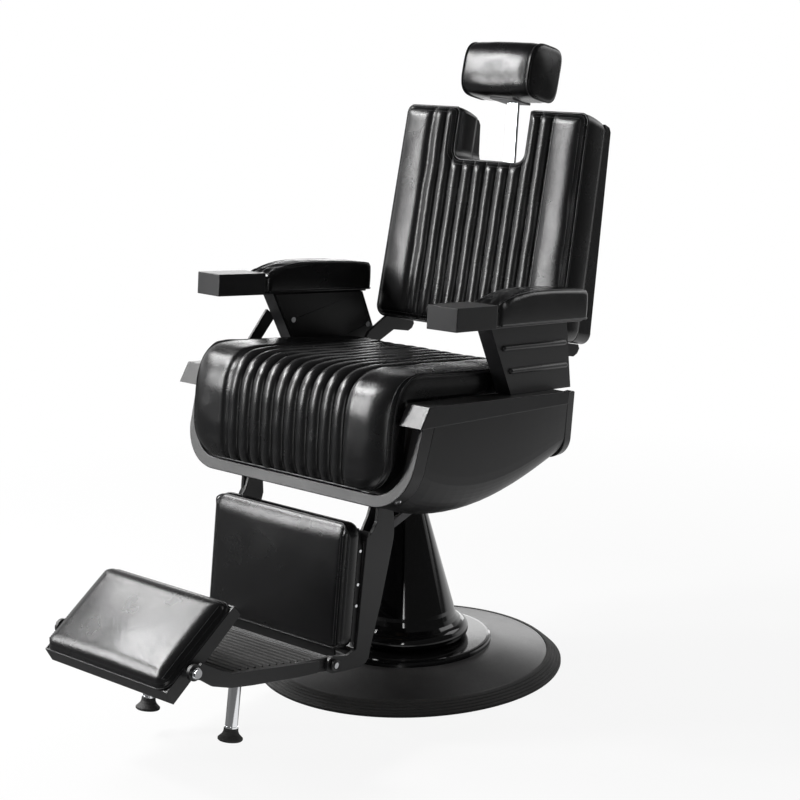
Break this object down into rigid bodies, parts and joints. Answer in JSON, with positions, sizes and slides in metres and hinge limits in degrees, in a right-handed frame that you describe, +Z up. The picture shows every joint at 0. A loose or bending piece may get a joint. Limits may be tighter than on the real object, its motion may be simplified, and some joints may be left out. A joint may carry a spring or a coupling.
{
  "type": "hydraulic barber chair",
  "caption": "Upholstered barber chair on a round lift base, with a reclining channelled back, linked legrest, fold-up footrest, flip foot pad and height-adjustable headrest.",
  "frame": {"origin": "on the floor under the middle of the lift column", "axes": "+Z up; the sitter faces -Y; +X is to the left hand of the sitter"},
  "size_m": [0.732, 1.2352, 1.298],
  "materials": {
    "upholstery": "fine-grained black leathercloth",
    "frame_paint": "satin fine-textured dark grey powder coat",
    "gloss_paint": "high-gloss black",
    "works_paint": "satin black",
    "chrome": "polished chrome",
    "rubber": "matte black rubber",
    "dark_plastic": "ribbed matte black",
    "board": "plywood"
  },
  "bodies": {
    "base": {"base_plate": "works_paint", "base_dome": "frame_paint", "base_rim": "rubber", "step_ring": "gloss_paint", "column_cover": "gloss_paint", "pump_cylinder": "works_paint", "pump_gland": "chrome", "pump_bolts": "chrome", "pedal_bracket": "works_paint"},
    "pedal": {"pump_pedal": "works_paint", "pedal_tread": "rubber"},
    "ram": {"lift_ram": "chrome"},
    "seat": {"swivel_hub": "works_paint", "seat_frame": "works_paint", "front_hoop": "frame_paint", "rear_hoop": "frame_paint", "side_cover_l": "frame_paint", "side_cover_r": "frame_paint", "side_rail_l": "frame_paint", "side_rail_r": "frame_paint", "seat_board": "board", "seat_cushion": "upholstery", "arm_support_l": "frame_paint", "arm_support_r": "frame_paint", "arm_inner_l": "frame_paint", "arm_inner_r": "frame_paint", "arm_block_l": "frame_paint", "arm_block_r": "frame_paint", "arm_pad_l": "upholstery", "arm_pad_r": "upholstery", "seat_screws": "chrome", "hinge_pins": "chrome", "lock_cylinder": "works_paint"},
    "lever": {"recline_lever": "frame_paint"},
    "rod": {"lock_rod": "chrome"},
    "back": {"back_arms": "frame_paint", "back_frame": "works_paint", "back_board": "board", "back_cushion": "upholstery", "back_panel": "upholstery", "post_socket": "works_paint"},
    "headrest": {"headrest_post": "chrome", "headrest_bracket": "dark_plastic", "headrest_pillow": "upholstery"},
    "legrest": {"leg_arm_l": "frame_paint", "leg_arm_r": "frame_paint", "leg_tube": "frame_paint", "calf_board": "board", "calf_pad": "upholstery", "leg_screws": "chrome"},
    "links": {"recline_links": "works_paint"},
    "footrest": {"foot_bar_l": "frame_paint", "foot_bar_r": "frame_paint", "foot_plate": "dark_plastic", "foot_legs": "chrome", "foot_bells": "rubber", "foot_bolts": "chrome"},
    "footpad": {"pad_tray": "frame_paint", "pad_board": "board", "pad_cushion": "upholstery"}
  },
  "joints": [
    {"name": "lift", "type": "slide", "parent": "base", "child": "ram", "axis": [0, 0, 1], "range_m": [0, 0.15]},
    {"name": "swivel", "type": "hinge", "parent": "ram", "child": "seat", "pos_m": [0, 0, 0.4], "axis": [0, 0, 1], "continuous": true},
    {"name": "recline", "type": "hinge", "parent": "seat", "child": "back", "pos_m": [0, 0.11338, 0.58187], "axis": [-1, 0, 0], "range_deg": [0, 36]},
    {"name": "legrest_swing", "type": "hinge", "parent": "seat", "child": "legrest", "pos_m": [0, -0.26604, 0.45997], "axis": [-1, 0, 0], "range_deg": [0, 36]},
    {"name": "link_swing", "type": "hinge", "parent": "back", "child": "links", "pos_m": [0, 0.1084, 0.50387], "axis": [-1, 0, 0], "range_deg": [-36, 0]},
    {"name": "lock_travel", "type": "slide", "parent": "seat", "child": "rod", "axis": [0, -0.9463, -0.3234], "range_m": [0, 0.031]},
    {"name": "lever_pull", "type": "hinge", "parent": "seat", "child": "lever", "pos_m": [-0.348, -0.15347, 0.62601], "axis": [-1, 0, 0], "range_deg": [0, 18], "stiffness_Nm_per_rad": 2, "springref_deg": -5.73},
    {"name": "headrest_height", "type": "slide", "parent": "back", "child": "headrest", "axis": [0, 0.2419, 0.9703], "range_m": [0, 0.06]},
    {"name": "footrest_fold", "type": "hinge", "parent": "legrest", "child": "footrest", "pos_m": [0, -0.417, 0.158], "axis": [-1, 0, 0], "range_deg": [0, 40]},
    {"name": "foot_pad_flip", "type": "hinge", "parent": "footrest", "child": "footpad", "pos_m": [0, -0.761, 0.241], "axis": [1, 0, 0], "range_deg": [-38, 133]},
    {"name": "pedal_stroke", "type": "hinge", "parent": "base", "child": "pedal", "pos_m": [-0.05931, 0.06228, 0.082], "axis": [-0.7242, -0.6896, 0], "range_deg": [0, 10], "stiffness_Nm_per_rad": 40, "springref_deg": -5.73}
  ],
  "couplings": [
    {"joint": "legrest_swing", "follows": "recline", "ratio": 1},
    {"joint": "link_swing", "follows": "recline", "ratio": -1},
    {"joint": "lock_travel", "follows": "recline", "m_per_rad": 0.04918}
  ]
}
